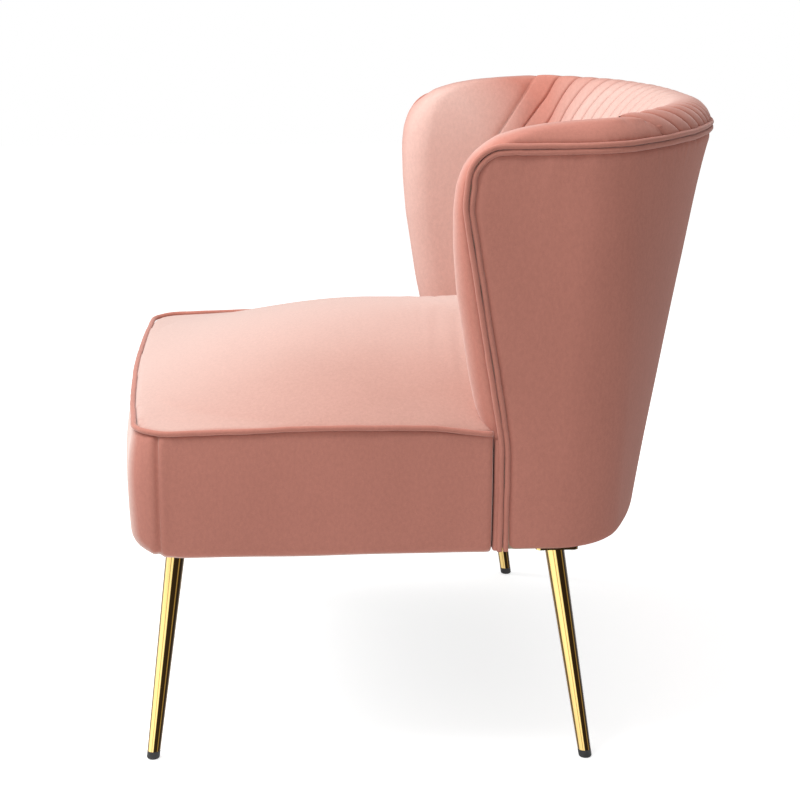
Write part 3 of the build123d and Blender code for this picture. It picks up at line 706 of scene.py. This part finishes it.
def boxing_relief(rows):
    """Upright seams, gathers under the piping and soft folds of the seat's side."""
    x, y, z = np.moveaxis(rows, -1, 0)
    below = 1 - (z - seat_bottom) / (seat_edge - seat_bottom)
    from_seam = np.minimum(np.abs(y - box_seam), 0.05) + 1.0 * (np.abs(x) < 0.25)
    seam = -0.0035 * np.exp(-((from_seam / 0.0024) ** 2))
    seam += 0.0010 * np.exp(-(((from_seam - 0.007) / 0.005) ** 2))
    gathers = 0.0010 * ripple(rows * (1, 1, 0.25), 55) * np.exp(-(below / 0.10))
    tuck = -0.0028 * np.exp(-((below / 0.035) ** 2))
    return seam + gathers + tuck + 0.0012 * ripple(rows, 9, 3.0)


def make_boxing():
    rows = []
    for inset, z in boxing_levels():
        half = half_width - inset - rounding(z - seat_bottom, side_round)
        half += side_belly * sin(pi * min(max((z - seat_bottom) / (seat_edge - seat_bottom), 0), 1))
        plan = resample(box_outline(half, seat_front_at(z) - inset, seat_corner - inset * 0.6), 900)
        rows.append(at_level(plan, z + side_wave(plan[:, 1]) * smooth((z - 0.34) / 0.07)))
    rows = np.array(rows)
    piece = grid_piece("seat_box_cover", pushed(rows, -grid_normals(rows), boxing_relief(rows)))
    piece.data.flip_normals()
    soft_piece(piece, "velvet", "seat_boxing", "seat_padding", fill=0.9, finish=box_velvet_painted_sheen)


def make_seat_welt():
    plan = box_outline(half_width - 0.0005, seat_front_at(seat_edge), seat_corner)[2:-2]
    plan = resample(plan, step=0.004)
    path = at_level(plan, seat_edge + side_wave(plan[:, 1]))
    soft_piece(cord_piece("seat_piping", path, seed=2.0), "piping", "seat_welt")


def tongue_outline():
    """Plan of the seat top: wide in front of the wings, with its tongue between them."""
    front = seat_front_at(seat_edge)
    wide = box_outline(half_width - 0.003, front - 0.003, seat_corner - 0.003)[1:-1]
    arch = Arch(inner_half + tongue_gap, tongue_corner, tongue_turn, inner_base + tongue_gap)
    half = [arch.point(a) for a in np.linspace(box_rear - tongue_turn, arch.length, 30)]
    rear = [(-x, y) for x, y in half] + half[::-1][1:]
    return resample(np.array([*wide, *rear, wide[0]]), 400)[:-1]


def cushion_loops():
    """Loops of the cushion, from the middle of its top out to the piping and back under it."""
    outline = tongue_outline()
    middle = np.array(cushion_middle)
    loops = []
    for share in (0.02, 0.1, 0.2, 0.3, 0.4, 0.5, 0.6, 0.7, 0.78, 0.85, 0.91, 0.95, 0.98, 1.0):
        plan = middle + (outline - middle) * share
        edge = side_wave(plan[:, 1]) * share**6
        top = seat_edge - 0.001 + edge + crown(plan[:, 0], plan[:, 1]) - cushion_slack * (1 - share**8)
        loops.append(at_level(plan, top))
    for share, drop in ((1.0, 0.012), (0.985, 0.030), (0.97, 0.050), (0.5, 0.050), (0.02, 0.050)):
        loops.append(at_level(middle + (outline - middle) * share, seat_edge - drop))
    return loops


def cushion_held(points):
    """1 where the cushion is held at its rim and underside, and 0 on its top."""
    rim = seat_edge + 0.003 + crown(points[:, 0], points[:, 1]) * 0.15
    return 1 - smooth((points[:, 2] - rim) / 0.006)


def make_cushion():
    piece = loops_solid("seat_cushion", cushion_loops())
    remesh(piece, 0.0055)
    inflate(piece, cushion_held, pressure=4.0, cap=0.007)
    apply_modifier(piece, "SUBSURF", levels=1)
    soft_piece(piece, "velvet", "seat_top_panel", "seat_foam", fill=0.8, finish=seat_velvet_painted_light)


# ---- outer back ----------------------------------------------------------------------------------
def panel_levels(rise):
    """(inset, height over the bottom) of the rows of the outer panel, closer together at both ends."""
    bottom_round = 0.009
    levels = [(flange, 0.0), (0.018, 0.0)]
    levels += [(bottom_round * (1 - sin(a)), bottom_round * (1 - cos(a))) for a in np.linspace(0, pi / 2, 7)]
    levels += [(0.0, height) for height in np.linspace(0.014, rise - 0.040, 60)]
    near_cord = (0.036, 0.032, 0.028, 0.024, 0.020, 0.016, 0.013, 0.010, 0.007, 0.005, 0.003, 0.0015, 0)
    return levels + [(0.0, rise - below) for below in near_cord]


def panel_relief(rows, below, behind, rise):
    """Gathers and tuck beside the cords, and a slight belly and soft folds elsewhere."""
    gathers = ripple(rows * (1, 1, 0.12), 75, 5.0) + 0.5 * ripple(rows * (1, 1, 0.15), 160, 8.0)
    from_cord = (np.minimum(below, behind) - cord_radius).clip(0)
    tuck = 0.0016 * np.exp(-below / 0.018) * gathers - 0.0030 * np.exp(-((from_cord / 0.0035) ** 1.5))
    belly = 0.0015 * np.sin(pi * np.clip(below / rise, 0, 1))
    folds = 0.0016 * ripple(rows, 7, 11.0) * smooth(below / 0.05)
    return tuck + belly + folds


def make_outer_panel():
    rise = welt_height - back_bottom
    levels = panel_levels(rise)
    rows, behind = [], []
    for inset, over in levels:
        arch = outer_arch(back_bottom + over)
        front = edge_at(back_bottom + over, 0.0)
        places = np.r_[np.linspace(front - arch.turn, 0, 60)[:-1], np.linspace(0, arch.length, 150)]
        plan = both_halves(np.array([arch.point(a, inset) for a in places]))
        rows.append(at_level(plan, back_bottom + over))
        behind.append(plan[:, 1] - front)
    rows = lifted(np.array(rows))
    below = np.array([rise - over for _, over in levels])[:, None]
    relief = panel_relief(rows, below, np.array(behind), rise)
    piece = grid_piece("back_outer_panel", pushed(rows, grid_normals(rows), relief))
    soft_piece(piece, "velvet", "back_outer_cover", fill=0.9)


def edge_path(shift):
    """Line of a cord: up one wing, round its corner, round the rear and down the other wing."""
    side = edge_line(shift)
    half = half_width - cord_inset
    start = np.column_stack([np.full(len(side), half), side])
    height = welt_height + shift
    arch = Arch(half, barrel_corner - cord_inset, turn_at(height), top_reach - cord_inset)
    rear = np.array([(*arch.point(a), height) for a in np.linspace(0, arch.length, 90)])
    return both_halves(lifted(resample(np.r_[start, rear[1:]], step=cord_step)))


def puckered(path):
    """The outer cord's path, drawn up by its stitches round the wing's top corner."""
    from_corner = np.hypot(path[:, 1] - 0.052, path[:, 2] - welt_height + 0.014)
    pucker = 0.0030 * (np.exp(-((from_corner / 0.035) ** 2)) * ripple(path, 70, 3.0))
    return path + pucker[:, None] * (0, 1, 1)


def make_back_welts():
    outer = cord_piece("back_piping_outer", puckered(edge_path(0)), seed=5.0)
    soft_piece(outer, "piping", "back_outer_welt")
    inner = cord_piece("back_piping_inner", edge_path(cord_pitch), seed=7.0)
    soft_piece(inner, "piping", "back_inner_welt")


# ---- channelled inner back -----------------------------------------------------------------------
# Progress over the section of the back is 0 at the seat, 0.5 where the inside starts to roll over,
# 0.8 at the crest and 1 at the piping.
def first_seam(progress):
    """Where the first channel seam is along the arch, measured from the end of its straight side."""
    places = (0, 0.5, 0.54, 0.62, 0.8, 1.0)
    return float(np.interp(progress, places, (-0.023, -0.042, -0.040, -0.017, 0.044, 0.118)))


def progress_inside(z):
    """Progress at a height of the inside, from the seat to the crest."""
    if z <= roll_height:
        return 0.5 * (z - channel_foot) / (roll_height - channel_foot)
    over = min((z - roll_height) / (crest_height - roll_height), 1)
    return 0.5 + 0.3 * float(np.arcsin(over)) / (pi / 2)


def progress_outside(z):
    """Progress at a height of the outside, from the crest down to the piping."""
    round_height = crest_height - welt_height
    start = float(np.arcsin(cord_pitch / round_height))
    angle = float(np.arcsin(min(max(z - welt_height, 0) / round_height, 1)))
    return 1.0 - 0.2 * (angle - start) / (pi / 2 - start)


def channel_levels():
    """(progress, height, arch) of the rows of the channelled cover, from the seat to the piping."""
    rising = list(np.linspace(channel_foot, roll_height, 46))
    rising += [roll_height + (crest_height - roll_height) * sin(a) for a in np.linspace(0, pi / 2, 30)[1:]]
    round_height = crest_height - welt_height
    start = np.arcsin(cord_pitch / round_height)
    falling = [welt_height + round_height * sin(a) for a in np.linspace(pi / 2, start, 14)[1:]]
    inside = [(progress_inside(z), z, inner_arch(z)) for z in rising]
    return inside + [(progress_outside(z), z, outer_arch(z)) for z in falling]


def channel_places():
    """Shares of the way from the first seam to the middle, closer together beside the seams."""
    per_half = channels // 2
    across = (1 - np.cos(np.linspace(0, pi, channel_steps + 1))) / 2
    across = 0.75 * across + 0.25 * np.linspace(0, 1, channel_steps + 1)
    places = [(n + s) / per_half for n in range(per_half) for s in across[:-1]]
    return np.array([-0.010, -0.005] + places + [1.0])


def channel_row(shares, progress, arch):
    """Plan of one row. Towards the crest the channels beside the wings grow wider than the middle ones."""
    start = first_seam(progress)
    wide = 0.58 * smooth((progress - 0.45) / 0.35)
    shares = shares + wide * shares * (1 - shares) ** 2
    return both_halves(np.array([arch.point(start + (arch.length - start) * s) for s in shares]))


def channel_profile(shares):
    """Height of the pillows and seams across a row. Both edges are turned in beside the wings."""
    to_seam = 0.5 - np.abs(((shares * channels / 2) % 1) - 0.5)
    pillow = channel_puff * (1 - (1 - 2 * to_seam) ** 2) - 0.0006
    pillow -= 0.0030 * np.exp(-((to_seam / 0.040) ** 2))
    pillow[:3] = -0.012, -0.006, -0.0010
    return np.r_[pillow, pillow[::-1][1:]]


def make_channels():
    shares = channel_places()
    rows, progress = [], []
    for place, z, arch in channel_levels():
        rows.append(at_level(channel_row(shares, place, arch), z))
        progress.append([place])
    rows, progress = lifted(np.array(rows)), np.array(progress)
    relief = channel_profile(shares) * (1 - 0.5 * smooth((progress - 0.93) / 0.07))
    relief += 0.0004 * ripple(rows, 40, 2.0) - 0.003 * smooth((progress - 0.985) / 0.015)
    piece = grid_piece("back_channels", pushed(rows, -grid_normals(rows), relief))
    piece.data.flip_normals()
    soft_piece(piece, "velvet", "back_inner_cover", "back_foam", fill=0.8, finish=inner_velvet_painted_light)


# ---- plain wing panels ---------------------------------------------------------------------------
def sunk(past, most=1.0):
    """How deep the wing's skin lies under the channels, by the distance behind the first seam."""
    return min(float(0.0024 * smooth((past + 0.008) / 0.008) + 0.014 * smooth(past / 0.016)), most)


def wing_inside(z, inner, front, room):
    """Inner face of a wing, from behind the first seam forward, as (x, y, drop)."""
    over = max(z - roll_height, 0) / (crest_height - roll_height)
    seam = first_seam(progress_inside(z))
    line = []
    for along in np.linspace(seam + seam_overlap, front - inner.turn, 44):
        depth = sunk(along - seam, room)
        line.append((*inner.point(along, -depth), -sunk(along - seam) * over**2))
    return line


def wing_outside(z, outer, front, room):
    """Outer face of a wing over the piping, from its front to behind the first seam, as (x, y, drop)."""
    over = (z - welt_height) / (crest_height - welt_height)
    seam = first_seam(progress_outside(z))
    groove = 0.0016 * float(np.exp(-(((z - wing_shelf) / 0.004) ** 2)))
    line = []
    for along in np.linspace(front - outer.turn, seam + seam_overlap, 40)[1:]:
        depth = groove + sunk(along - seam, room)
        line.append((*outer.point(along, depth), -sunk(along - seam) * over**2))
    return line


def wing_beside(z, outer, front):
    """Outer face of a wing's padding up to the piping, and the face inside the back behind it."""
    stop = max(edge_at(z, cord_pitch) + 0.0005, front + 0.001)
    line = []
    for y in np.linspace(front, stop, 10)[1:]:
        line.append((outer.half - 0.0016 * float(np.exp(-(((stop - y) / 0.004) ** 2))), y, 0.0))
    return line + [(outer.half - 0.022, y, 0.0) for y in np.linspace(stop + 0.0005, 0.165, 30)]


def wing_loop(z):
    """Closed loop round one padded wing at a height, from behind the first seam round its rounded front."""
    inner, outer = inner_arch(z), outer_arch(z)
    front = float(np.interp(z, *zip(*wing_front)))
    inner_front = front + wrap * (1 - 0.85 * roll(z, roll_height))
    outer_front = max(min(edge_at(min(z, welt_height), 0) - cover_edge, inner_front), front + 0.003)
    turn = max(inner.turn, inner_front + 0.004)
    reach = max(inner.rear_centre + inner.rear_radius, turn + 0.09)
    inner = Arch(inner.half, inner.corner, turn, reach)
    room = 0.35 * (outer.half - inner.half)
    nose = (inner.half + 0.4 * (outer.half - inner.half), front)
    rounded = arc_through((inner.half, inner_front), nose, (outer.half, outer_front), 18)
    line = wing_inside(z, inner, inner_front, room) + [(x, y, 0.0) for x, y in rounded[1:]]
    if z < wing_shelf:
        return np.array(line + wing_beside(z, outer, outer_front))
    return np.array(line + wing_outside(z, outer, outer_front, room))


def make_wings():
    above = wing_shelf + 0.0006
    heights = list(np.linspace(0.384, roll_height, 22)[:-1])
    heights += [roll_height + (crest_height - roll_height) * sin(a) for a in np.linspace(0, radians(50), 12)]
    heights += [wing_shelf - 0.0006, above]
    heights += [above + (0.7624 - above) * sin(a) for a in np.linspace(0, pi / 2, 14)[1:]]
    loops = lifted(np.array([wing_loop(z) + (0, 0, z) for z in sorted(heights)]))
    for side, sign in (("left", 1), ("right", -1)):
        piece = loops_solid(f"wing_panel_{side}", loops * (sign, 1, 1))
        remesh(piece, 0.004)
        apply_modifier(piece, "SUBSURF", levels=1)
        soft_piece(piece, "velvet", fill=0.8, finish=inner_velvet_painted_light)


def make_wing_bands():
    """Strips of cover between the seat's gap and the piping, under the wings."""
    front = box_rear + 0.0013
    rows = []
    for z in np.linspace(back_bottom + 0.001, 0.402, 30):
        rear = edge_at(z, cord_pitch) + 0.001
        points = [(half_width - 0.026, front), (half_width, front), (half_width, rear)]
        rows.append(at_level(resample(filleted(points, [0.003], 8), 26), z))
    for side, sign in (("left", 1), ("right", -1)):
        piece = grid_piece(f"wing_band_{side}", np.array(rows) * (sign, 1, 1))
        soft_piece(piece, "velvet", f"wing_facing_{side}")


# ---- stage ---------------------------------------------------------------------------------------
floor_glow = 0.66           # makes the floor white to the camera, but leaves the chair's shadow
daylight = 0.45             # of the white room, where the camera doesn't look at it


def make_floor():
    corners = [[(-6, -6, 0), (6, -6, 0)], [(-6, 6, 0), (6, 6, 0)]]
    floor = grid_piece("floor", np.array(corners, float) - (0, 0, 0.0005))
    shader = Shader("pale_floor", roughness=0.9)
    shader.colour(shader.ramp(shader.noise(3), (0.86, 0.86, 0.86), (0.88, 0.88, 0.88)))
    rays = shader.node("ShaderNodeLightPath").outputs
    inputs = {0: rays["Is Camera Ray"], 1: rays["Is Glossy Ray"]}
    seen = shader.node("ShaderNodeMath", inputs, operation="MAXIMUM").outputs[0]
    glow = shader.node("ShaderNodeMath", {0: seen, 1: floor_glow}, operation="MULTIPLY").outputs[0]
    shader.main.inputs["Emission Color"].default_value = (1, 1, 1, 1)
    shader.links.new(glow, shader.main.inputs["Emission Strength"])
    floor.data.materials.append(shader.material)


def make_world():
    world = bpy.data.worlds.new("studio")
    bpy.context.scene.world = world
    world.use_nodes = True
    nodes, links = world.node_tree.nodes, world.node_tree.links
    background = nodes["Background"]
    background.inputs["Color"].default_value = (1, 1, 1, 1)
    rays = nodes.new("ShaderNodeLightPath").outputs
    seen = nodes.new("ShaderNodeMath")
    seen.operation = "MAXIMUM"
    links.new(rays["Is Camera Ray"], seen.inputs[0])
    links.new(rays["Is Transmission Ray"], seen.inputs[1])
    level = nodes.new("ShaderNodeMapRange")
    level.inputs["To Min"].default_value = daylight
    level.inputs["To Max"].default_value = 1.0
    links.new(seen.outputs[0], level.inputs["Value"])
    links.new(level.outputs[0], background.inputs["Strength"])


def make_lamp(name, place, target, power, size):
    """Area lamp that faces a point."""
    data = bpy.data.lights.new(name, "AREA")
    data.shape = "RECTANGLE"
    data.energy = power
    data.size, data.size_y = size
    lamp = bpy.data.objects.new(name, data)
    lamp.location = place
    lamp.rotation_euler = (Vector(target) - Vector(place)).to_track_quat("-Z", "Y").to_euler()
    bpy.context.scene.collection.objects.link(lamp)


def make_camera():
    """Long lens on the chair's left side, a little ahead of square and looking slightly down."""
    data = bpy.data.cameras.new("camera")
    data.sensor_width = 36
    data.lens = 80.44
    data.shift_x = 0.075
    camera = bpy.data.objects.new("camera", data)
    heading, pitch = radians(3.51), radians(14.79)
    camera.location = (2.275, -0.235, 0.967)
    forward = Vector((-cos(heading) * cos(pitch), sin(heading) * cos(pitch), -sin(pitch)))
    camera.rotation_euler = forward.to_track_quat("-Z", "Y").to_euler()
    bpy.context.scene.collection.objects.link(camera)
    bpy.context.scene.camera = camera


make_camera()
make_floor()
make_world()
make_lamp("key", (0.45, -0.65, 2.05), (-0.05, -0.1, 0.5), 23, (0.8, 0.9))
make_lamp("front_fill", (-0.4, -1.9, 1.7), (0, -0.3, 0.4), 24, (1.0, 1.0))
make_lamp("side_fill", (2.6, -1.0, 1.2), (0, 0, 0.4), 10, (1.4, 1.4))
bpy.context.scene.view_settings.view_transform = "Standard"

dress_frame()
make_boxing()
make_seat_welt()
make_cushion()
make_outer_panel()
make_back_welts()
make_channels()
make_wings()
make_wing_bands()
